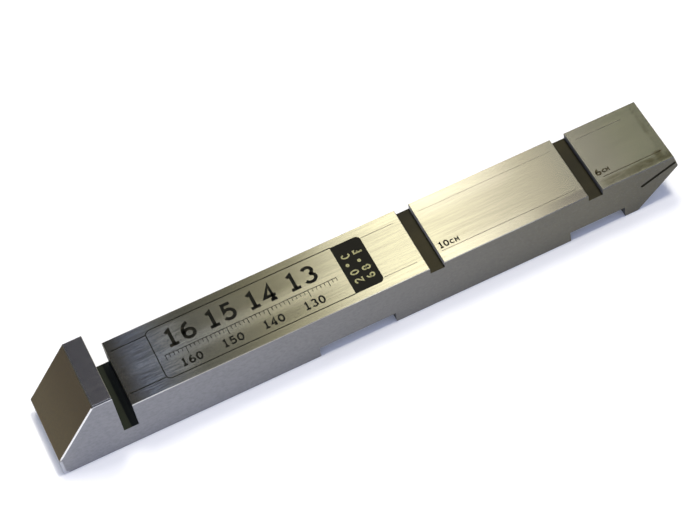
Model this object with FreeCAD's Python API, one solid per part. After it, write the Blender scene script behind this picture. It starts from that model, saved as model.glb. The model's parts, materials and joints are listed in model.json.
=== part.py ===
import FreeCAD, Part
import math
import os

# Setting gauge milled from one length of ground square steel bar, in millimetres
# Seen from the side it has a sloped toe, a raised stop, a flat gauge top and a bevelled nose
# Side profile: x is measured from the inner wall of the stop, z up from the underside
# The finished block is moved so that the origin is under its middle, on the underside

# Bar stock, three quarters of an inch square
bar_width = 19.05
bar_height = 19.05

# Toe and stop, on the left
toe_reach = 15.8
toe_height = 5.2
toe_radius = 1.3
stop_top_length = 4.6

# Gauge top, with a deep clearance slot at the stop and two shallow marking slots
gauge_height = 13.45
clearance_slot_width = 3.6
clearance_slot_floor = 5.95
mark_slot_width = 3.6
mark_slot_depth = 1.75
near_mark = 80.0
far_mark = 120.0

# Nose, on the right: its end face leans out a little, and the bevel runs back under it
nose_reach = 138.35
nose_face = 3.85
nose_lean = 15.0
nose_tip_radius = 0.6
bevel_angle = 41.9
slit_angle = 21.0
slit_width = 0.8
slit_depth = 9.9
slit_down_face = 2.0

# Relief notches across the underside
relief_height = 3.2
long_relief_start = 47.4
long_relief_length = 19.1
short_relief_length = 14.1
end_foot_length = 3.35

# Broken edges: the widest are in front, at the slope and the stop
slope_chamfer = 0.22
stop_chamfer = 0.25
top_chamfer = 0.15
rear_chamfer = 0.15
foot_chamfer = 0.12
cross_chamfer = 0.12

# How far a cutter runs on past the metal, and how close two points count as one
OVERRUN = 1.0
TOUCHING = 0.001

# Corners of the side profile that other features are set from
lean = math.radians(nose_lean)
tip_x = nose_reach + nose_face * math.sin(lean)
tip_z = gauge_height - nose_face * math.cos(lean)
bevel_start = tip_x - tip_z / math.tan(math.radians(bevel_angle))
short_relief_end = bevel_start - end_foot_length
short_relief_start = short_relief_end - short_relief_length

TOE_FOOT = (-toe_reach, 0.0)
TOE_TOP = (-toe_reach, toe_height)
STOP_LEFT = (-stop_top_length, bar_height)
STOP_RIGHT = (0.0, bar_height)
STOP_BASE = (0.0, gauge_height)
NOSE_TOP = (nose_reach, gauge_height)
NOSE_TIP = (tip_x, tip_z)
BEVEL_FOOT = (bevel_start, 0.0)


def point(corner, y=0.0):
    """Place a corner of the side profile at a distance y across the bar"""
    return FreeCAD.Vector(corner[0], y, corner[1])


def across_bar(corners, overrun=0.0):
    """Extrude a closed polygon of the side profile across the bar, and past it if it is a cutter"""
    outline = [point(corner, -overrun) for corner in corners]
    face = Part.Face(Part.makePolygon(outline + outline[:1]))
    return face.extrude(FreeCAD.Vector(0.0, bar_width + 2.0 * overrun, 0.0))


def cross_edges(shape, corners):
    """Find the edges that run straight across the bar at the given corners"""
    found = []
    for corner in corners:
        line = Part.makeLine(point(corner), point(corner, bar_width))
        for edge in shape.Edges:
            ends = [line.distToShape(vertex)[0] for vertex in edge.Vertexes]
            if len(ends) == 2 and max(ends) < TOUCHING:
                found.append(edge)
    return found


def low_edges(shape):
    """Find the side edges of the feet, the toe and the nose, which lie below the gauge top"""
    found = []
    for edge in shape.Edges:
        middle = edge.CenterOfMass
        on_side = min(abs(middle.y), abs(middle.y - bar_width)) < TOUCHING
        highest = max(vertex.Point.z for vertex in edge.Vertexes)
        if on_side and highest < gauge_height - TOUCHING:
            found.append(edge)
    return found


def bar_outline():
    """The outer form of the block, with its toe and nose tip rounded and its low edges broken"""
    block = across_bar([
        TOE_FOOT, TOE_TOP, STOP_LEFT, STOP_RIGHT, STOP_BASE, NOSE_TOP, NOSE_TIP, BEVEL_FOOT,
    ])
    block = block.makeFillet(toe_radius, cross_edges(block, [TOE_FOOT]))
    block = block.makeFillet(nose_tip_radius, cross_edges(block, [NOSE_TIP]))
    sharp = [TOE_TOP, STOP_LEFT, STOP_RIGHT, NOSE_TOP, BEVEL_FOOT]
    block = block.makeChamfer(cross_chamfer, cross_edges(block, sharp))
    return block.makeChamfer(foot_chamfer, low_edges(block))


def long_chamfer(start, end, size, side):
    """The wedge that breaks one long edge, from start to end, on the side face at y = side"""
    run = (point(end) - point(start)).normalize()
    outward = FreeCAD.Vector(-run.z, 0.0, run.x) * size
    inward = FreeCAD.Vector(0.0, size if side < bar_width / 2.0 else -size, 0.0)
    edge = point(start, side)
    outer = edge + outward - inward
    over_top = outer + inward * 3.0
    down_side = outer - outward * 3.0
    face = Part.Face(Part.makePolygon([outer, over_top, down_side, outer]))
    return face.extrude(point(end) - point(start))


def past(start, end):
    """The point a little beyond the end of the line from start to end, clear of the metal"""
    run = (point(end) - point(start)).normalize()
    reached = point(end) + run * OVERRUN
    return (reached.x, reached.z)


def long_chamfers():
    """The chamfers along the slope, the stop and the gauge top, in front and at the rear"""
    slope = (past(STOP_LEFT, TOE_TOP), past(TOE_TOP, STOP_LEFT))
    stop = (past(STOP_RIGHT, STOP_LEFT), past(STOP_LEFT, STOP_RIGHT))
    top = ((clearance_slot_width / 2.0, gauge_height), past(STOP_BASE, NOSE_TOP))
    wedges = []
    for run, front_size in ((slope, slope_chamfer), (stop, stop_chamfer), (top, top_chamfer)):
        wedges.append(long_chamfer(run[0], run[1], front_size, 0.0))
        wedges.append(long_chamfer(run[0], run[1], rear_chamfer, bar_width))
    return wedges


def channel(left, right, floor, mouth):
    """A milled channel across the bar, from its floor out past its mouth, with broken edges"""
    out = math.copysign(cross_chamfer, mouth - floor)
    return across_bar([
        (left, floor),
        (right, floor),
        (right, mouth - out),
        (right + 2.0 * cross_chamfer, mouth + out),
        (left - 2.0 * cross_chamfer, mouth + out),
        (left, mouth - out),
    ], OVERRUN)


def clearance_slot():
    """The deep slot beside the stop, which keeps the stop's wall straight down to its floor"""
    return across_bar([
        (0.0, clearance_slot_floor),
        (clearance_slot_width, clearance_slot_floor),
        (clearance_slot_width, gauge_height - cross_chamfer),
        (clearance_slot_width + 2.0 * cross_chamfer, gauge_height + cross_chamfer),
        (0.0, gauge_height + cross_chamfer),
    ], OVERRUN)


def mark_slot(mark):
    """A shallow slot in the gauge top, with its far wall on the mark"""
    return channel(mark - mark_slot_width, mark, gauge_height - mark_slot_depth, gauge_height)


def relief_notch(start, end):
    """A shallow notch across the underside, between two feet"""
    return channel(start, end, relief_height, 0.0)


def nose_slit():
    """The saw cut into the end of the nose, with a round bottom"""
    tilt = math.radians(slit_angle)
    into = FreeCAD.Vector(-math.cos(tilt), 0.0, -math.sin(tilt))
    upward = FreeCAD.Vector(-math.sin(tilt), 0.0, math.cos(tilt))
    half = upward * (slit_width / 2.0)
    down_face = FreeCAD.Vector(math.sin(lean), 0.0, -math.cos(lean))
    mouth = point(NOSE_TOP, -OVERRUN) + down_face * slit_down_face
    outside = mouth - into * OVERRUN
    bottom = mouth + into * (slit_depth - slit_width / 2.0)
    deepest = mouth + into * slit_depth
    sides = [
        Part.makeLine(outside + half, bottom + half),
        Part.Arc(bottom + half, deepest, bottom - half).toShape(),
        Part.makeLine(bottom - half, outside - half),
        Part.makeLine(outside - half, outside + half),
    ]
    return Part.Face(Part.Wire(sides)).extrude(FreeCAD.Vector(0.0, bar_width + 2.0 * OVERRUN, 0.0))


def gauge_block():
    """The whole block, cut from the bar and stood over the origin"""
    cuts = long_chamfers()
    cuts.append(clearance_slot())
    cuts.append(mark_slot(near_mark))
    cuts.append(mark_slot(far_mark))
    cuts.append(relief_notch(long_relief_start, long_relief_start + long_relief_length))
    cuts.append(relief_notch(short_relief_start, short_relief_end))
    cuts.append(nose_slit())
    block = bar_outline()
    for cut in cuts:
        block = block.cut(cut)
    block = block.removeSplitter()
    box = block.BoundBox
    block.translate(FreeCAD.Vector(-box.Center.x, -bar_width / 2.0, 0.0))
    return block.Solids[0]


os.makedirs("parts", exist_ok=True)
block = gauge_block()
block.exportStep("parts/gauge_block.step")
print("valid", block.isValid(), "volume", round(block.Volume, 1), "size", block.BoundBox)
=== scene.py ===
import json
import math
from types import SimpleNamespace

import bmesh
import bpy
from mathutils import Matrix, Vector


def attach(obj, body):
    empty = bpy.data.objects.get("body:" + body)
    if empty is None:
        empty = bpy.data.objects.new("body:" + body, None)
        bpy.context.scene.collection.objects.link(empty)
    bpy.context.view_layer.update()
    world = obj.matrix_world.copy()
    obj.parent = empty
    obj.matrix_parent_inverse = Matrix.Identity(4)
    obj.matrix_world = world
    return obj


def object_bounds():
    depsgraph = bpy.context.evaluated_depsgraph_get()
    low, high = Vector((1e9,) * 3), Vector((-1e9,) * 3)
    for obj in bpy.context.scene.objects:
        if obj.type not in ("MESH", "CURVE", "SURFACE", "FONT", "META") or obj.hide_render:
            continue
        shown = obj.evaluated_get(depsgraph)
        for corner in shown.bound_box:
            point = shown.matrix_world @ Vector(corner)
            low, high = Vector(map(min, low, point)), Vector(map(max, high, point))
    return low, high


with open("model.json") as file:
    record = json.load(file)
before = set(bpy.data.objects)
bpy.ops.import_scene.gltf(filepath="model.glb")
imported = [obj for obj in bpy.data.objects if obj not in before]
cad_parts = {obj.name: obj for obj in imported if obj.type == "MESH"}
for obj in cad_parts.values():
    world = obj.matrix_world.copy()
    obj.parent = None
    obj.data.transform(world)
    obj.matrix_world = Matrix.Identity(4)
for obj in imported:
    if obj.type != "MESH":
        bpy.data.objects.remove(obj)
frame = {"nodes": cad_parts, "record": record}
cad_low, cad_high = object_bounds()

# Places on the block are in millimetres: along runs from the inner wall of the stop towards the
# nose, across from the front face to the rear one, and z up from the underside
MM = 0.001

# From the frame: where the stop's inner wall and the front face are, two heights, and the toe's end
mounts = {mount["name"]: mount["pos_m"] for mount in frame["record"]["mounts"]}
STOP_WALL = mounts["stop_wall"][0] / MM
FRONT = cad_low.y / MM
GAUGE_TOP = mounts["gauge_top"][2] / MM
BAR_HEIGHT = cad_high.z / MM
TOE_END = cad_low.x / MM - STOP_WALL

# Sizes of the side profile that the frame doesn't give
TOE_HEIGHT = 5.2
TOE_RADIUS = 1.3
STOP_LEFT = -4.6
CLEARANCE_FLOOR = 5.95
RELIEF_HEIGHT = 3.2

# The line along the top that its painted shade and highlights are centred on, measured across
PAINTED_SHADE_AND_HIGHLIGHT_MIDDLE = 8.7

# Marks on the gauge top: how far they reach into the steel and stand out of it
SUNK = 0.01
PROUD = 0.012
LABEL_PROUD = 0.01

# The rounded frame on the gauge top, and the black block that overlaps its open end
FRAME_LEFT = 13.15
FRAME_RIGHT = 59.2
FRAME_NEAR = 2.3
FRAME_FAR = 16.8
LABEL_LEFT = FRAME_RIGHT - 0.1
LABEL_RIGHT = 66.35
LABEL_NEAR = FRAME_NEAR - 0.05
LABEL_FAR = FRAME_FAR - 0.05
CORNER_RADIUS = 1.25
CORNER_STEPS = 8

# The scale in the frame: its ends along the bar, its line across it, and where it would reach zero
SCALE_START = 15
SCALE_END = 57
SCALE_LINE = 8.6
SCALE_ZERO = 180

# Letters, as shares of their height, and the gloss of the etched marks
LETTER_WIDTH = 0.6
LETTER_PITCH = 0.8
ETCHED_GLOSS = 0.08

# Colours of the gauge top, as linear red, green and blue, from the stop to the nose
TOP_BLUISH = (0.435, 0.468, 0.525)
TOP_NEUTRAL = (0.50, 0.50, 0.435)
TOP_STRAW = (0.49, 0.46, 0.315)
TOP_DULL_STRAW = (0.455, 0.42, 0.305)
TOP_PALE_BROWN = (0.42, 0.40, 0.305)
TOP_OLIVE = (0.43, 0.43, 0.28)
GROOVE_BROWN = (0.14, 0.13, 0.11)
# Painted shade and painted highlights on the gauge top
PAINTED_SHADE_OLIVE = (0.14, 0.13, 0.07)
PAINTED_SHADE_BROWN = (0.145, 0.122, 0.066)
PAINTED_HIGHLIGHT_STRAW = (0.62, 0.575, 0.44)
PAINTED_HIGHLIGHT_BLUE = (0.66, 0.70, 0.74)
# Stains and a smudge on the gauge top
STAIN_OLIVE = (0.17, 0.155, 0.075)
SMUDGE_GREY = (0.21, 0.19, 0.17)

# Colours of the ground faces: the stop's top, the front, the rear, the slope and the toe
STOP_TOP_LIGHT = (0.37, 0.35, 0.33)
STOP_TOP_DARK = (0.30, 0.285, 0.28)
FRONT_LEFT = (0.277, 0.280, 0.300)
FRONT_RIGHT = (0.145, 0.137, 0.103)
FRONT_NOSE = (0.095, 0.09, 0.07)
GRAIN_DARK = (0.12, 0.12, 0.12)
GRAIN_LIGHT = (0.42, 0.42, 0.42)
REAR_LIGHT = (0.40, 0.40, 0.40)
REAR_DARK = (0.32, 0.32, 0.315)
# The slope's near-black brown is painted dark reflection, lighter low down
SLOPE_PAINTED_REFLECTION_HIGH = (0.063, 0.0445, 0.0175)
SLOPE_PAINTED_REFLECTION_LOW = (0.089, 0.068, 0.031)
SLOPE_GRAIN = (0.055, 0.042, 0.028)
TOE_GREY = (0.30, 0.30, 0.30)
HIDDEN_LIGHT = (0.30, 0.30, 0.29)
HIDDEN_DARK = (0.2, 0.2, 0.19)

# Colours inside the slots and notches
# Painted shade on the end walls of the relief notches
NOTCH_WALL_PAINTED_SHADE = (0.085, 0.08, 0.07)
MARK_FLOOR_LIGHT = (0.0245, 0.021, 0.0085)
MARK_FLOOR_DARK = (0.0145, 0.013, 0.006)
SLIT_FLOOR = (0.058, 0.048, 0.022)
# Painted light on the first marking slot's wall, and painted shade on the second's
FIRST_SLOT_WALL_PAINTED_LIGHT = (0.50, 0.48, 0.48)
SECOND_SLOT_WALL_PAINTED_SHADE = (0.13, 0.13, 0.14)
# The clearance slot's floor, painted as a lit strip and a shadowed one, and its wall
CLEARANCE_LIT_START = (0.015, 0.0195, 0.0115)
CLEARANCE_LIT_END = (0.049, 0.0535, 0.034)
CLEARANCE_DIM_START = (0.011, 0.013, 0.011)
CLEARANCE_DIM_END = (0.031, 0.033, 0.029)
CLEARANCE_WALL = (0.014, 0.017, 0.022)

# Colours of the broken edges, with painted highlight, sheen and shade, and of the painted highlights beside
# them
EDGE_DULL = (0.24, 0.22, 0.18)
EDGE_PAINTED_SHEEN = (0.66, 0.60, 0.44)
EDGE_PAINTED_HIGHLIGHT = (0.97, 0.96, 0.93)
STOP_EDGE_PAINTED_SHADE = (0.05, 0.05, 0.055)
ARRIS_STOP_PAINTED_HIGHLIGHT = (0.95, 0.95, 0.95)
ARRIS_SLOPE_PAINTED_HIGHLIGHT = (0.97, 0.96, 0.95)
TOE_EDGE_PAINTED_HIGHLIGHT = (0.50, 0.505, 0.54)
EDGE_CROSS = (0.36, 0.34, 0.26)


# Shader graphs

def opaque(colour):
    """Red, green and blue with full alpha; a socket stays as it is"""
    return (*colour, 1.0) if isinstance(colour, tuple) else colour


class Graph:
    """Adds nodes to the tree of a material or of the world, and links them"""

    def __init__(self, tree):
        self.tree = tree
        tree.nodes.clear()

    def node(self, kind, inputs=None, **settings):
        made = self.tree.nodes.new("ShaderNode" + kind)
        for name, value in settings.items():
            setattr(made, name, value)
        for key, value in (inputs or {}).items():
            if isinstance(value, bpy.types.NodeSocket):
                self.tree.links.new(value, made.inputs[key])
            else:
                made.inputs[key].default_value = value
        return made

    def math(self, operation, a, b=0.0):
        return self.node("Math", {0: a, 1: b}, operation=operation).outputs[0]

    def add(self, a, b):
        return self.math("ADD", a, b)

    def subtract(self, a, b):
        return self.math("SUBTRACT", a, b)

    def absolute(self, value):
        return self.math("ABSOLUTE", value)

    def product(self, *values):
        total = values[0]
        for value in values[1:]:
            total = self.math("MULTIPLY", total, value)
        return total

    def highest(self, *values):
        most = values[0]
        for value in values[1:]:
            most = self.math("MAXIMUM", most, value)
        return most

    def wave(self, value, noise, swing):
        """The value moved to and fro by a noise, over this whole swing"""
        return self.add(value, self.product(self.subtract(noise, 0.5), swing))

    def step(self, value, low, high):
        """0 below low, 1 above high, and the other way round if low is the larger"""
        return self.node(
            "MapRange", {"Value": value, "From Min": low, "From Max": high},
            interpolation_type="SMOOTHSTEP").outputs[0]

    def band(self, value, low, high, soft):
        """1 between low and high, with soft ends"""
        rising = self.step(value, low - soft, low + soft)
        falling = self.step(value, high + soft, high - soft)
        return self.product(rising, falling)

    def facing(self, direction):
        """1 where this part of the surface direction is nearly 1, so that the face looks that way"""
        return self.step(direction, 0.85, 0.95)

    def mix(self, factor, a, b):
        """Colour a where the factor is 0, and b where it is 1"""
        return self.node("Mix", {0: factor, 6: opaque(a), 7: opaque(b)}, data_type="RGBA").outputs[2]

    def blend(self, factor, a, b):
        """Number a where the factor is 0, and b where it is 1"""
        return self.node("Mix", {0: factor, 2: a, 3: b}, data_type="FLOAT").outputs[0]

    def split(self, vector):
        return self.node("SeparateXYZ", {0: vector}).outputs[:3]

    def stretch(self, vector, x, yz):
        return self.node("VectorMath", {0: vector, 1: (x, yz, yz)}, operation="MULTIPLY").outputs[0]

    def millimetres(self):
        """The object's own coordinates, in millimetres"""
        return self.stretch(self.node("TexCoord").outputs["Object"], 1.0 / MM, 1.0 / MM)

    def noise(self, place, lengthways, crossways, detail, roughness):
        """Noise with about this many waves to the unit, lengthways and crossways to the bar"""
        return self.node("TexNoise", {
            "Vector": self.stretch(place, lengthways, crossways),
            "Scale": 1.0,
            "Detail": detail,
            "Roughness": roughness,
        }).outputs[0]

    def shader(self, base, roughness, metallic, specular=0.5, **more):
        surface = self.node("BsdfPrincipled", {
            "Base Color": base,
            "Roughness": roughness,
            "Metallic": metallic,
            "Specular IOR Level": specular,
            **more,
        })
        self.node("OutputMaterial", {"Surface": surface.outputs[0]})


def new_material(name):
    material = bpy.data.materials.new(name)
    material.use_nodes = True
    return material, Graph(material.node_tree)


# Where a point of the block lies, which face it is on and how the steel's grain runs

def block_places(g):
    """The place of a point on the block in millimetres, and the direction that it faces"""
    place = g.millimetres()
    x, y, z = g.split(place)
    nx, ny, nz = g.split(g.node("TexCoord").outputs["Normal"])
    return SimpleNamespace(
        place=place,
        along=g.subtract(x, STOP_WALL),
        across=g.subtract(y, FRONT),
        z=z,
        nx=nx,
        ny=ny,
        nz=nz,
        endways=g.absolute(nx),
        sideways=g.absolute(ny),
    )


def block_faces(g, at):
    """A mask for each kind of face, told apart by place and direction"""
    upward = g.facing(at.nz)
    upright = g.facing(at.endways)
    over_notches = g.step(at.z, CLEARANCE_FLOOR - 0.95, CLEARANCE_FLOOR - 0.45)
    in_slots = g.band(at.along, -0.1, 125.0, 0.05)
    slot_floor = g.product(upward, g.step(at.z, GAUGE_TOP - 0.25, GAUGE_TOP - 0.45), over_notches)
    slot_wall = g.product(upright, in_slots, g.step(at.z, GAUGE_TOP - 0.05, GAUGE_TOP - 0.25), over_notches)
    notch_height = g.step(at.z, RELIEF_HEIGHT + 0.4, RELIEF_HEIGHT + 0.2)
    toe_end = g.step(at.along, TOE_END + 0.8, TOE_END + 0.3)
    slanting = g.product(g.step(at.sideways, 0.3, 0.5), g.step(at.sideways, 0.95, 0.85))
    return SimpleNamespace(
        side=g.facing(at.sideways),
        upward=upward,
        top=g.product(upward, g.step(at.z, GAUGE_TOP - 0.45, GAUGE_TOP - 0.15)),
        slope=g.product(g.step(at.nx, -0.5, -0.7), g.step(at.nz, 0.3, 0.4)),
        toe=g.product(g.step(at.nx, -0.85, -0.95), toe_end),
        slot_wall=slot_wall,
        in_slot=g.highest(slot_floor, slot_wall),
        notch_wall=g.product(upright, g.band(at.along, 45.0, 127.0, 0.5), notch_height),
        edge=g.product(slanting, g.step(at.z, 5.0, 6.0)),
        margin=g.subtract(1.0, g.band(at.across, 2.9, 16.2, 0.5)),
    )


def steel_grain(g, place):
    """Long streaks along the bar on the top, and a short mottled grain on the ground sides"""
    return SimpleNamespace(
        streaks=g.noise(place, 0.08, 2.4, 2.0, 0.6),
        fine_streaks=g.noise(place, 0.09, 9.0, 1.0, 0.5),
        scratches=g.noise(place, 0.2, 3.0, 1.0, 0.5),
        broad=g.noise(place, 0.02, 0.6, 2.0, 0.5),
        mottle=g.noise(place, 1.0, 1.6, 3.0, 0.65),
        speckle=g.noise(place, 2.5, 5.0, 1.0, 0.5),
        cloud=g.noise(place, 0.06, 0.14, 3.0, 0.55),
        blotches=g.noise(place, 0.5, 1.1, 3.0, 0.6),
    )


# The gauge top and the top of the stop

def brushed_colour(g, at, grain):
    """Brushed steel that is bluish at the stop, then neutral, then straw-coloured"""
    colour = g.mix(g.step(at.along, 9.0, 20.0), TOP_BLUISH, TOP_NEUTRAL)
    colour = g.mix(g.step(at.along, 18.0, 42.0), colour, TOP_STRAW)
    colour = g.mix(g.step(at.along, 72.0, 100.0), colour, TOP_DULL_STRAW)
    colour = g.mix(g.step(at.along, 108.0, 122.0), colour, TOP_PALE_BROWN)
    # The grooves of the brushing are darkest beside the stop
    depth = g.blend(g.step(at.along, 50.0, 70.0), 0.14, 0.09)
    depth = g.blend(g.step(at.along, 30.0, 14.0), depth, 0.32)
    depth = g.blend(g.step(at.along, 14.0, 8.0), depth, 0.55)
    grooves = g.blend(g.step(at.along, 32.0, 16.0), grain.streaks, grain.scratches)
    return g.mix(g.product(g.step(grooves, 0.40, 0.62), depth), colour, GROOVE_BROWN)


def shaded_top(g, at, on, grain, colour):
    """Painted shade leaves the frame lightest along its middle, and painted highlights make the top beyond
    it lightest along its two margins
    """
    # Painted shade along the two margins beside the frame, deeper at the rear
    rear_half = g.step(at.across, 9.0, 10.0)
    margin_painted_shade = g.product(on.margin, g.band(at.along, 14.0, 55.0, 6.0), g.blend(rear_half, 0.35, 0.5))
    colour = g.mix(margin_painted_shade, colour, PAINTED_SHADE_OLIVE)
    # Painted shade across the frame and its margins, deepening away from the middle
    off_middle = g.absolute(g.subtract(at.across, PAINTED_SHADE_AND_HIGHLIGHT_MIDDLE))
    inner_depth = g.product(g.step(at.along, 64.0, 42.0), 0.58)
    margin_depth = g.product(g.step(at.along, 54.0, 30.0), 0.42)
    depth = g.blend(on.margin, inner_depth, margin_depth)
    frame_painted_shade = g.product(g.step(at.along, 17.0, 24.0), g.step(off_middle, 0.5, 4.0), depth)
    colour = g.mix(frame_painted_shade, colour, PAINTED_SHADE_OLIVE)
    # A painted highlight along both margins beyond the frame
    margin_painted_highlight = g.product(g.band(at.along, 80.0, 104.0, 5.0), g.step(off_middle, 3.0, 7.0), 0.45)
    colour = g.mix(margin_painted_highlight, colour, PAINTED_HIGHLIGHT_STRAW)
    # A painted highlight along the middle of the top near the stop
    middle_painted_highlight = g.product(g.band(at.along, 7.0, 19.0, 3.0), g.step(off_middle, 2.2, 0.6), 0.3)
    colour = g.mix(middle_painted_highlight, colour, PAINTED_HIGHLIGHT_BLUE)
    # The edge of the painted brown shade beside the clearance slot follows the scratches
    ragged = g.add(at.along, g.product(grain.scratches, 8.0))
    return g.mix(g.product(g.step(ragged, 13.0, 8.0), 0.8), colour, PAINTED_SHADE_BROWN)


def stained_nose(g, at, grain, colour):
    """Olive stains along the front margin of the nose and round its end"""
    colour = g.mix(g.product(g.step(at.along, 122.0, 134.0), 0.8), colour, TOP_OLIVE)
    wavy = g.wave(at.across, grain.cloud, 2.0)
    front_depth = g.blend(g.step(at.along, 127.0, 133.0), 0.62, 0.85)
    blotchy = g.blend(g.step(grain.blotches, 0.3, 0.6), 0.45, 1.0)
    front = g.product(g.band(wavy, 0.6, 2.6, 0.4), g.step(at.along, 119.0, 123.0), blotchy, front_depth)
    wavy_end = g.wave(at.along, grain.blotches, 1.6)
    line_depth = g.blend(g.band(at.across, 9.0, 12.5, 1.5), 0.3, 0.6)
    end_line = g.product(g.band(wavy_end, 136.3, 137.0, 0.6), line_depth)
    end_film = g.product(g.step(wavy_end, 136.3, 137.2), 0.14)
    corner_reach = g.product(g.step(wavy, 4.4, 3.4), g.step(wavy, 0.3, 0.9))
    corner = g.product(g.band(at.along, 134.8, 136.6, 0.5), corner_reach, 0.8)
    return g.mix(g.highest(front, corner, end_film, end_line), colour, STAIN_OLIVE)


def smudged_top(g, at, grain, colour):
    """A grey smudge along the front margin, just before the second marking slot"""
    wavy = g.wave(at.across, grain.cloud, 2.0)
    reach = g.product(g.step(at.along, 100.0, 114.0), g.step(at.along, 117.5, 116.0))
    return g.mix(g.product(reach, g.band(wavy, 0.2, 2.6, 0.5), 0.55), colour, SMUDGE_GREY)


def stop_top_colour(g, grain):
    return g.mix(g.step(grain.blotches, 0.35, 0.65), STOP_TOP_LIGHT, STOP_TOP_DARK)


def top_colour(g, at, on, grain):
    """The brushed gauge top with its painted shade and highlights and its stains, and the plain top of the
    stop
    """
    colour = brushed_colour(g, at, grain)
    colour = shaded_top(g, at, on, grain, colour)
    colour = stained_nose(g, at, grain, colour)
    colour = smudged_top(g, at, grain, colour)
    return g.mix(g.step(at.z, BAR_HEIGHT - 2.0, BAR_HEIGHT - 1.0), colour, stop_top_colour(g, grain))


# The ground sides, the slope and the underside

def side_colour(g, at, grain):
    """The front, which darkens and yellows towards the nose, and the plain rear"""
    colour = g.mix(g.step(at.along, -16.0, 135.0), FRONT_LEFT, FRONT_RIGHT)
    colour = g.mix(g.product(g.step(at.along, 118.0, 136.0), 0.5), colour, FRONT_NOSE)
    colour = g.mix(g.product(g.step(grain.mottle, 0.35, 0.75), 0.22), colour, GRAIN_DARK)
    colour = g.mix(g.product(g.step(grain.speckle, 0.5, 0.8), 0.1), colour, GRAIN_LIGHT)
    rear = g.mix(g.step(grain.mottle, 0.3, 0.7), REAR_LIGHT, REAR_DARK)
    return g.mix(g.step(at.ny, 0.8, 0.9), colour, rear)


# The slope is painted with a dark reflection, lighter low down, and mottled with grain
def slope_colour(g, at, grain):
    colour = g.mix(g.step(at.z, 18.0, 6.0), SLOPE_PAINTED_REFLECTION_HIGH, SLOPE_PAINTED_REFLECTION_LOW)
    return g.mix(g.product(g.step(grain.mottle, 0.35, 0.7), 0.3), colour, SLOPE_GRAIN)


def underside_colour(g, grain):
    """The underside, the bevel and the end of the nose"""
    return g.mix(g.product(grain.cloud, 0.5), HIDDEN_LIGHT, HIDDEN_DARK)


# The slots

def mark_slot_colour(g, at, on, grain):
    """The two shallow marking slots and the slit"""
    floor = g.mix(g.step(grain.cloud, 0.3, 0.7), MARK_FLOOR_LIGHT, MARK_FLOOR_DARK)
    floor = g.mix(g.step(at.along, 125.0, 127.0), floor, SLIT_FLOOR)
    # The first marking slot's wall is painted light, the second's painted shade
    wall = g.mix(g.step(at.along, 90.0, 110.0), FIRST_SLOT_WALL_PAINTED_LIGHT, SECOND_SLOT_WALL_PAINTED_SHADE)
    return g.mix(on.slot_wall, floor, wall)


def clearance_slot_colour(g, at, on):
    """The deep slot beside the stop, whose floor is painted with a lit strip and a shadowed one, both
    painted lighter away from the stop
    """
    lit_floor = g.mix(g.step(at.along, 0.5, 3.6), CLEARANCE_LIT_START, CLEARANCE_LIT_END)
    dim_floor = g.mix(g.step(at.along, 2.0, 3.5), CLEARANCE_DIM_START, CLEARANCE_DIM_END)
    # Painted shadow on the floor's far part, away from the stop
    floor = g.mix(g.step(at.along, 1.75, 2.05), lit_floor, dim_floor)
    return g.mix(on.slot_wall, floor, CLEARANCE_WALL)


def slots_painted(g, at, on, grain, colour):
    # The notches' end walls are painted with shade
    colour = g.mix(on.notch_wall, colour, NOTCH_WALL_PAINTED_SHADE)
    clearance = g.step(at.along, 5.0, 4.0)
    slots = g.mix(clearance, mark_slot_colour(g, at, on, grain), clearance_slot_colour(g, at, on))
    return g.mix(on.in_slot, colour, slots)


# The broken edges, their painted highlight and shade, and the painted highlights beside them

def edge_colour(g, at):
    """Painted highlight at the slope and the stop, a painted straw sheen half-way along, and painted shade
    along the stop's top
    """
    brightness = g.blend(g.step(at.along, 1.0, 3.0), 1.0, 0.22)
    bright = g.product(g.step(at.along, 24.0, 8.0), brightness)
    dark = g.product(g.step(at.z, BAR_HEIGHT - 0.55, BAR_HEIGHT - 0.35), g.step(at.along, -6.0, -5.0))
    colour = g.mix(g.band(at.along, 58.0, 104.0, 8.0), EDGE_DULL, EDGE_PAINTED_SHEEN)
    colour = g.mix(bright, colour, EDGE_PAINTED_HIGHLIGHT)
    return g.mix(dark, colour, STOP_EDGE_PAINTED_SHADE)


def stop_arris(g, at, on):
    """A thin painted highlight on either side of the stop's front edge"""
    upper = g.product(
        on.upward, g.step(at.z, BAR_HEIGHT - 1.05, BAR_HEIGHT - 0.55), g.step(at.across, 0.44, 0.38))
    lower = g.product(
        on.side, g.step(at.z, BAR_HEIGHT - 0.43, BAR_HEIGHT - 0.37),
        g.step(at.along, STOP_LEFT - 0.7, STOP_LEFT - 0.3), g.step(at.across, 1.0, 0.5))
    return g.highest(upper, lower)


def slope_arris(g, at, on):
    """A thin painted highlight on the front face, just inside the line of the slope"""
    run = STOP_LEFT - TOE_END
    rise = BAR_HEIGHT - TOE_HEIGHT
    length = math.hypot(run, rise)
    inward = g.product(g.subtract(at.along, TOE_END), rise / length)
    upward = g.product(g.subtract(at.z, TOE_HEIGHT), run / length)
    inside = g.subtract(inward, upward)
    above_toe = g.step(at.z, TOE_HEIGHT, TOE_HEIGHT + 1.0)
    return g.product(on.side, g.step(inside, 0.34, 0.28), above_toe, g.step(at.across, 1.0, 0.5))


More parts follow.
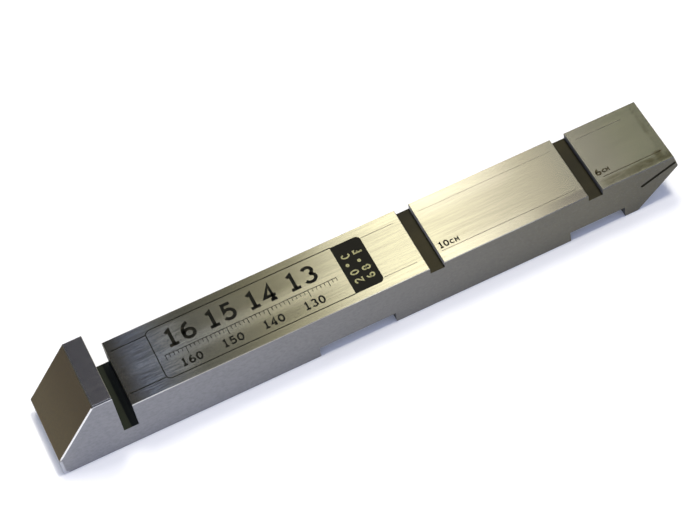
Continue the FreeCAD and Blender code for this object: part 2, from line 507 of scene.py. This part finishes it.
def toe_rub(g, at):
    """A painted highlight on the front edge round the rounded corner of the toe, by distance from its centre
    """
    run = g.highest(g.subtract(TOE_END + TOE_RADIUS, at.along), 0.0)
    drop = g.highest(g.subtract(TOE_RADIUS, at.z), 0.0)
    distance = g.math("SQRT", g.add(g.product(run, run), g.product(drop, drop)))
    at_toe = g.product(
        g.step(at.along, TOE_END + 1.5, TOE_END + 1.0), g.step(at.z, TOE_HEIGHT + 0.2, TOE_HEIGHT - 0.4))
    rounded = g.product(g.step(at.sideways, 0.3, 0.5), g.step(distance, 0.5, 0.85))
    return g.product(rounded, at_toe, g.step(at.across, 1.0, 0.5))


def cross_edge(g, at):
    """The broken edges that run across the bar, at the slots and the stop"""
    slanting = g.product(g.band(at.nz, 0.68, 0.97, 0.015), g.step(at.sideways, 0.3, 0.2))
    return g.product(slanting, g.step(at.z, GAUGE_TOP - 0.45, GAUGE_TOP - 0.25))


def edges_painted(g, at, on, colour):
    colour = g.mix(on.edge, colour, edge_colour(g, at))
    colour = g.mix(stop_arris(g, at, on), colour, ARRIS_STOP_PAINTED_HIGHLIGHT)
    colour = g.mix(slope_arris(g, at, on), colour, ARRIS_SLOPE_PAINTED_HIGHLIGHT)
    colour = g.mix(toe_rub(g, at), colour, TOE_EDGE_PAINTED_HIGHLIGHT)
    return g.mix(cross_edge(g, at), colour, EDGE_CROSS)


# The finished steel

def steel_colour(g, at, on, grain):
    colour = g.mix(on.side, underside_colour(g, grain), side_colour(g, at, grain))
    colour = g.mix(on.top, colour, top_colour(g, at, on, grain))
    colour = g.mix(on.slope, colour, slope_colour(g, at, grain))
    colour = g.mix(on.toe, colour, TOE_GREY)
    colour = slots_painted(g, at, on, grain, colour)
    return edges_painted(g, at, on, colour)


def steel_roughness(g, at, on, grain):
    glossy_margin = g.product(on.margin, g.band(at.along, 62.0, 100.0, 6.0))
    on_top = g.add(g.blend(glossy_margin, 0.195, 0.165), g.product(grain.streaks, 0.08))
    rough = g.blend(on.top, g.blend(grain.mottle, 0.42, 0.56), on_top)
    rough = g.blend(on.slope, rough, 0.36)
    return g.blend(on.edge, rough, 0.24)


def steel_relief(g, at, on, grain):
    """Brushing on the top, coarser and shallower away from the stop, and a mottled grain elsewhere"""
    near_stop = g.step(at.along, 40.0, 15.0)
    broad = g.product(grain.broad, g.blend(near_stop, 0.6, 0.15))
    fine = g.product(grain.fine_streaks, g.blend(near_stop, 0.2, 0.25))
    brushing = g.add(g.product(grain.streaks, 0.3), g.add(broad, fine))
    far_depth = g.blend(g.step(at.along, 60.0, 80.0), 0.28, 0.055)
    brushing = g.product(brushing, g.blend(near_stop, far_depth, 1.0))
    height = g.blend(on.top, g.product(grain.mottle, 0.5), brushing)
    return g.node("Bump", {"Height": height, "Strength": 0.06, "Distance": 0.03 * MM}).outputs[0]


def across_the_grain(g, at):
    """The grinding runs along the bar, so the gloss spreads across it on every face"""
    end_face = g.step(at.endways, 0.95, 0.99)
    return g.node("CombineXYZ", {0: 0.0, 1: g.add(at.nz, end_face), 2: g.product(at.ny, -1.0)}).outputs[0]


def steel_material():
    """Ground and brushed steel, different on the top, the sides, the slope and in the slots"""
    material, g = new_material("ground_steel_finish")
    at = block_places(g)
    on = block_faces(g, at)
    grain = steel_grain(g, at.place)
    metallic = g.blend(on.in_slot, 1.0, g.blend(on.slot_wall, 0.6, 0.2))
    g.shader(
        steel_colour(g, at, on, grain),
        steel_roughness(g, at, on, grain),
        metallic,
        specular=0.3,
        Normal=steel_relief(g, at, on, grain),
        Anisotropic=0.7,
        Tangent=across_the_grain(g, at),
    )
    return material


# The marks' materials, each worn in streaks along the bar

def etched_material():
    """Dark etched marks, worn to bare metal in fine streaks"""
    material, g = new_material("etched_black")
    wear = g.noise(g.millimetres(), 0.4, 5.0, 3.0, 0.6)
    colour = g.mix(g.step(wear, 0.55, 0.8), (0.006, 0.006, 0.004), (0.055, 0.048, 0.032))
    g.shader(colour, g.blend(wear, 0.55, 0.75), 0.0, ETCHED_GLOSS)
    return material


def brown_mark_material():
    """Etched marks on the nose, browner and paler than the rest"""
    material, g = new_material("etched_brown")
    wear = g.noise(g.millimetres(), 0.8, 2.5, 3.0, 0.6)
    colour = g.mix(g.step(wear, 0.45, 0.75), (0.022, 0.017, 0.008), (0.10, 0.085, 0.045))
    g.shader(colour, 0.65, 0.0, ETCHED_GLOSS)
    return material


def fine_line_material():
    """Thin etched lines, fainter than the numbers"""
    material, g = new_material("etched_fine")
    wear = g.noise(g.millimetres(), 0.25, 2.0, 3.0, 0.6)
    colour = g.mix(g.step(wear, 0.35, 0.7), (0.05, 0.045, 0.035), (0.22, 0.20, 0.15))
    g.shader(colour, g.blend(wear, 0.45, 0.7), 0.3)
    return material


def label_material():
    """The blackened block at the end of the frame"""
    material, g = new_material("blackened_field")
    streaks = g.noise(g.millimetres(), 0.5, 4.0, 3.0, 0.6)
    colour = g.mix(streaks, (0.005, 0.005, 0.004), (0.017, 0.016, 0.011))
    g.shader(colour, g.blend(streaks, 0.5, 0.7), 0.0, ETCHED_GLOSS)
    return material


def bare_metal_material():
    """Bare metal that shows through the black block as numbers"""
    material, g = new_material("bare_numbers")
    wear = g.noise(g.millimetres(), 1.5, 1.5, 3.0, 0.6)
    colour = g.mix(g.step(wear, 0.45, 0.75), (0.50, 0.48, 0.24), (0.16, 0.15, 0.09))
    g.shader(colour, g.blend(wear, 0.3, 0.5), 0.8)
    return material


# Marks on the gauge top

def on_top(along, across, height):
    return Vector(((STOP_WALL + along) * MM, (FRONT + across) * MM, (GAUGE_TOP + height) * MM))


def unit(start, end):
    """The direction from start to end, one long"""
    run = (end[0] - start[0], end[1] - start[1])
    length = math.hypot(*run)
    return (run[0] / length, run[1] / length)


def arc(centre, radius, start, end, steps, squeeze=1.0):
    """Points on an arc, with angles in degrees; squeeze scales its height"""
    points = []
    for i in range(steps + 1):
        angle = math.radians(start + (end - start) * i / steps)
        points.append((centre[0] + radius * math.cos(angle), centre[1] + radius * squeeze * math.sin(angle)))
    return points


class Marks:
    """Collects flat closed prisms on the gauge top and makes one piece of them"""

    def __init__(self, low=-SUNK, high=PROUD):
        self.mesh = bmesh.new()
        self.low = low
        self.high = high

    def prism(self, outline):
        """A flat plate with this outline, given counter-clockwise as seen from above"""
        floor = [self.mesh.verts.new(on_top(a, b, self.low)) for a, b in outline]
        roof = [self.mesh.verts.new(on_top(a, b, self.high)) for a, b in outline]
        self.mesh.faces.new(roof)
        self.mesh.faces.new(floor[::-1])
        for i in range(len(outline)):
            j = (i + 1) % len(outline)
            self.mesh.faces.new((floor[i], floor[j], roof[j], roof[i]))

    def stroke(self, points, width, closed=False):
        """A line of even width along the points, with mitred corners"""
        points = [p for i, p in enumerate(points) if i == 0 or math.dist(p, points[i - 1]) > 1e-6]
        count = len(points)
        left = []
        right = []
        for i, here in enumerate(points):
            before = points[i - 1] if i > 0 or closed else None
            after = points[(i + 1) % count] if i < count - 1 or closed else None
            a = unit(before, here) if before else unit(here, after)
            b = unit(here, after) if after else a
            normal = (-(a[1] + b[1]), a[0] + b[0])
            length = math.hypot(*normal)
            normal = (normal[0] / length, normal[1] / length)
            # A mitre reaches further the sharper the corner is, up to the line's whole width
            reach = 0.5 * width / max(0.5, -a[1] * normal[0] + a[0] * normal[1])
            left.append((here[0] + normal[0] * reach, here[1] + normal[1] * reach))
            right.append((here[0] - normal[0] * reach, here[1] - normal[1] * reach))
        if closed:
            for i in range(count):
                j = (i + 1) % count
                self.prism([right[i], right[j], left[j], left[i]])
        else:
            self.prism(right + left[::-1])

    def finish(self, name, material):
        bmesh.ops.recalc_face_normals(self.mesh, faces=self.mesh.faces)
        data = bpy.data.meshes.new(name)
        self.mesh.to_mesh(data)
        self.mesh.free()
        data.materials.append(material)
        piece = bpy.data.objects.new(name, data)
        bpy.context.scene.collection.objects.link(piece)
        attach(piece, "root")
        return piece


def ring(centre, radius, steps, squeeze):
    """A whole round stroke, which ends in the word closed"""
    return arc(centre, radius, 90, 450, steps, squeeze)[:-1] + ["closed"]


# Strokes of the numbers and letters, on a box one letter wide and 1 high, with short slab serifs
GLYPHS = {
    "0": [ring((0.3, 0.5), 0.25, 24, 2.0)],
    "1": [[(0.14, 0.86), (0.32, 1.0), (0.32, 0.0)], [(0.1, 0.0), (0.54, 0.0)]],
    "2": [arc((0.3, 0.74), 0.24, 170, -40, 12, 1.08) + [(0.06, 0.0), (0.54, 0.0), (0.54, 0.12)]],
    "3": [arc((0.28, 0.75), 0.22, 150, -80, 12, 1.12), arc((0.28, 0.27), 0.26, 80, -155, 14, 1.04)],
    "4": [[(0.56, 0.28), (0.04, 0.28), (0.40, 1.0), (0.40, 0.0)], [(0.26, 0.0), (0.54, 0.0)]],
    "5": [[(0.50, 1.0), (0.14, 1.0), (0.11, 0.54)] + arc((0.28, 0.32), 0.26, 115, -150, 14, 1.22)],
    "6": [arc((0.44, 0.42), 0.36, 95, 180, 10, 1.6) + arc((0.32, 0.28), 0.24, 180, 530, 22, 1.14)],
    "8": [ring((0.3, 0.75), 0.21, 20, 1.16), ring((0.3, 0.27), 0.25, 22, 1.08)],
    "c": [arc((0.31, 0.32), 0.25, 45, 315, 16, 1.26)],
    "m": [[(0.1, 0.0), (0.1, 0.66), (0.3, 0.24), (0.5, 0.66), (0.5, 0.0)],
          [(0.02, 0.0), (0.18, 0.0)],
          [(0.42, 0.0), (0.58, 0.0)]],
    "C": [arc((0.33, 0.5), 0.27, 50, 310, 18, 1.85), [(0.5, 0.72), (0.5, 0.98)]],
    "F": [[(0.54, 0.78), (0.54, 1.0), (0.06, 1.0)],
          [(0.16, 1.0), (0.16, 0.0)],
          [(0.16, 0.52), (0.42, 0.52)],
          [(0.06, 0.0), (0.32, 0.0)]],
    "o": [ring((0.3, 0.85), 0.14, 16, 1.0)],
}


def write(marks, text, place, height, pen, pitch=LETTER_PITCH, turned=False):
    """Draw the text from place, with letters of this height; turned text reads towards the back"""
    for i, letter in enumerate(text):
        for path in GLYPHS[letter]:
            closed = path[-1] == "closed"
            points = path[:-1] if closed else path
            placed = []
            for u, v in points:
                # The pen's own width stays inside the letter's height
                reach_u = (u + i * pitch) * height
                reach_v = 0.5 * pen + v * (height - pen)
                if turned:
                    placed.append((place[0] - reach_v, place[1] + reach_u))
                else:
                    placed.append((place[0] + reach_u, place[1] + reach_v))
            marks.stroke(placed, pen, closed)


def write_centred(marks, text, middle, across, height, pen):
    """Draw the text with its middle at this place along the bar"""
    width = ((len(text) - 1) * LETTER_PITCH + LETTER_WIDTH) * height
    write(marks, text, (middle - 0.5 * width, across), height, pen)


def rounded_frame():
    """The open frame line that ends at the black block"""
    corner_along = FRAME_LEFT + CORNER_RADIUS
    line = [(FRAME_RIGHT, FRAME_NEAR), (corner_along, FRAME_NEAR)]
    line += arc((corner_along, FRAME_NEAR + CORNER_RADIUS), CORNER_RADIUS, 270, 180, CORNER_STEPS)
    line += arc((corner_along, FRAME_FAR - CORNER_RADIUS), CORNER_RADIUS, 180, 90, CORNER_STEPS)
    line.append((FRAME_RIGHT, FRAME_FAR))
    return line


def label_outline():
    """The black block, square at the frame and rounded at its other end"""
    corner_along = LABEL_RIGHT - CORNER_RADIUS
    outline = [(LABEL_LEFT, LABEL_NEAR)]
    outline += arc((corner_along, LABEL_NEAR + CORNER_RADIUS), CORNER_RADIUS, 270, 360, CORNER_STEPS)
    outline += arc((corner_along, LABEL_FAR - CORNER_RADIUS), CORNER_RADIUS, 0, 90, CORNER_STEPS)
    outline.append((LABEL_LEFT, LABEL_FAR))
    return outline


def tick_length(along):
    """Longest at whole centimetres, and longer at the half ones than between"""
    if along % 10 == 0:
        return 2.0
    if along % 5 == 0:
        return 1.5
    return 0.95


def scale_marks(numbers, ticks):
    """A graduated scale in the frame, which counts down towards the two marking slots"""
    width = 0.16
    for along in range(SCALE_START, SCALE_END + 1):
        ticks.stroke([(along, SCALE_LINE - tick_length(along)), (along, SCALE_LINE)], width)
        if along % 10 == 0:
            millimetres = SCALE_ZERO - along
            write_centred(numbers, str(millimetres // 10), along, across=9.9, height=5.1, pen=0.85)
            write_centred(numbers, str(millimetres), along, across=3.6, height=2.3, pen=0.42)
    ticks.stroke([(SCALE_START - 0.5 * width, SCALE_LINE), (SCALE_END + 0.5 * width, SCALE_LINE)], width)


def add_scale(etched):
    """The frame with its ticks and numbers, and the lines that run on from it to the clearance slot"""
    ticks = Marks()
    numbers = Marks()
    ticks.stroke(rounded_frame(), width=0.24)
    ticks.stroke([(4.3, 3.1), (13.2, 3.1)], width=0.28)
    ticks.stroke([(4.6, 15.8), (13.2, 15.8)], width=0.26)
    scale_marks(numbers, ticks)
    ticks.finish("frame_and_ticks", etched)
    numbers.finish("scale_numbers", etched)


def add_size_marks(etched):
    """The size beside the first marking slot"""
    marks = Marks()
    write(marks, "10", (80.85, 3.75), height=1.85, pen=0.38, pitch=0.72)
    write(marks, "cm", (83.6, 3.8), height=1.85, pen=0.31, pitch=0.64)
    marks.finish("size_marks", etched)


def add_edge_lines():
    """Thin lines along both edges of the top, from the black block to the nose"""
    lines = Marks()
    for start, end, across, width in (
            (66.5, 74.8, 3.15, 0.13), (66.5, 74.8, 15.8, 0.12),
            (80.9, 115.0, 3.1, 0.13), (81.0, 115.0, 15.9, 0.07),
            (121.5, 133.2, 15.95, 0.12)):
        lines.stroke([(start, across), (end, across)], width)
    lines.finish("edge_lines", fine_line_material())


def add_nose_marks():
    """The size beside the second marking slot, and the line along the front that ends in a dot"""
    marks = Marks()
    write(marks, "6", (120.8, 3.95), height=2.0, pen=0.44)
    write(marks, "cm", (122.4, 4.15), height=1.6, pen=0.3, pitch=0.54)
    marks.stroke([(121.9, 3.2), (136.4, 3.2)], width=0.17)
    marks.prism(arc((136.5, 3.2), radius=0.3, start=0, end=330, steps=11))
    marks.finish("nose_marks", brown_mark_material())


def add_label():
    """The black block at the end of the frame, with a reference temperature in bare metal"""
    label = Marks(high=LABEL_PROUD)
    label.prism(label_outline())
    label.finish("black_field", label_material())
    temperatures = Marks(low=0.0, high=LABEL_PROUD + PROUD)
    for text, along in (("20oC", 62.35), ("68oF", 65.25)):
        write(temperatures, text, (along, 4.6), height=2.1, pen=0.35, pitch=1.2, turned=True)
    temperatures.finish("field_numbers", bare_metal_material())


def add_marks():
    etched = etched_material()
    add_scale(etched)
    add_size_marks(etched)
    add_edge_lines()
    add_nose_marks()
    add_label()


# Studio

def add_camera():
    """A long lens at the photo's angle"""
    data = bpy.data.cameras.new("camera")
    data.sensor_width = 36.0
    data.lens = 124.242
    data.clip_start = 0.01
    camera = bpy.data.objects.new("camera", data)
    bpy.context.scene.collection.objects.link(camera)
    camera.location = (-0.080442, -0.3144226, 0.4485343)
    camera.rotation_euler = [math.radians(a) for a in (36.10778, 7.74276, -24.72687)]
    bpy.context.scene.camera = camera


def softbox(name, azimuth, elevation, distance, width, height, radiance, colour, aim=(0.0, 0.0, 0.0)):
    """A soft area lamp seen from the block at this azimuth, clockwise from +Y, and elevation"""
    data = bpy.data.lights.new(name, "AREA")
    data.shape = "RECTANGLE"
    data.size = width
    data.size_y = height
    data.energy = radiance * math.pi * width * height
    data.color = colour
    lamp = bpy.data.objects.new(name, data)
    bpy.context.scene.collection.objects.link(lamp)
    turn = math.radians(azimuth)
    rise = math.radians(elevation)
    outward = Vector((math.sin(turn) * math.cos(rise), math.cos(turn) * math.cos(rise), math.sin(rise)))
    lamp.location = Vector(aim) + outward * distance
    lamp.rotation_euler = outward.to_track_quat("Z", "Y").to_euler()
    return lamp


def add_lamps():
    softbox("key_softbox", azimuth=17.2, elevation=53.0, distance=1.3, width=0.13, height=0.9,
            radiance=2.85, colour=(1.0, 0.99, 0.95), aim=(0.016, 0.0, 0.013))
    softbox("overhead_softbox", azimuth=97.0, elevation=77.0, distance=1.2, width=0.16, height=0.16,
            radiance=86.0, colour=(1.0, 0.94, 0.80))
    rear = softbox("rear_softbox", azimuth=16.0, elevation=71.0, distance=1.2, width=0.45, height=0.45,
                   radiance=11.0, colour=(1.0, 0.95, 0.82))
    left = softbox("left_softbox", azimuth=290.0, elevation=50.0, distance=1.3, width=0.2, height=0.2,
                   radiance=10.0, colour=(1.0, 0.97, 0.93))
    # The lamps behind and on the left soften the shadows, and stay out of the steel's reflections
    rear.visible_glossy = False
    left.visible_glossy = False
    softbox("front_softbox", azimuth=185.0, elevation=40.0, distance=1.3, width=0.6, height=0.4,
            radiance=2.2, colour=(0.94, 0.97, 1.0))


def add_world():
    """A dim room, brighter in front and to the right than behind on the left, with pale walls low down"""
    world = bpy.data.worlds.new("studio")
    bpy.context.scene.world = world
    world.use_nodes = True
    g = Graph(world.node_tree)
    direction = g.node("TexCoord").outputs["Generated"]
    brightest = (0.15, -0.74, 0.65)
    facing = g.node("VectorMath", {0: direction, 1: brightest}, operation="DOT_PRODUCT").outputs["Value"]
    colour = g.mix(g.step(facing, 0.0, 1.0), (0.06, 0.065, 0.08), (0.45, 0.515, 0.785))
    rise = g.split(direction)[2]
    colour = g.mix(g.product(g.step(rise, 0.62, 0.0), 0.85), colour, (0.60, 0.64, 0.72))
    background = g.node("Background", {"Color": colour, "Strength": 1.0})
    g.node("OutputWorld", {"Surface": background.outputs[0]})


def floor_material():
    """Plain matt white, a little uneven"""
    material, g = new_material("white_floor")
    cloud = g.noise(g.node("TexCoord").outputs["Object"], 3.0, 3.0, 2.0, 0.5)
    g.shader(g.mix(cloud, (0.91, 0.92, 0.95), (0.93, 0.94, 0.97)), 0.9, 0.0)
    return material


def add_floor():
    """A round white floor, a hair below the block's feet"""
    mesh = bmesh.new()
    bmesh.ops.create_circle(mesh, cap_ends=True, segments=96, radius=2.5)
    data = bpy.data.meshes.new("floor")
    mesh.to_mesh(data)
    mesh.free()
    data.materials.append(floor_material())
    floor = bpy.data.objects.new("floor", data)
    floor.location = (0.0, 0.0, -0.02 * MM)
    bpy.context.scene.collection.objects.link(floor)


block = frame["nodes"]["gauge_block"]
steel = steel_material()
for material_slot in block.material_slots:
    material_slot.material = steel

add_marks()
add_floor()
add_world()
add_lamps()
add_camera()
bpy.context.scene.view_settings.view_transform = "Standard"
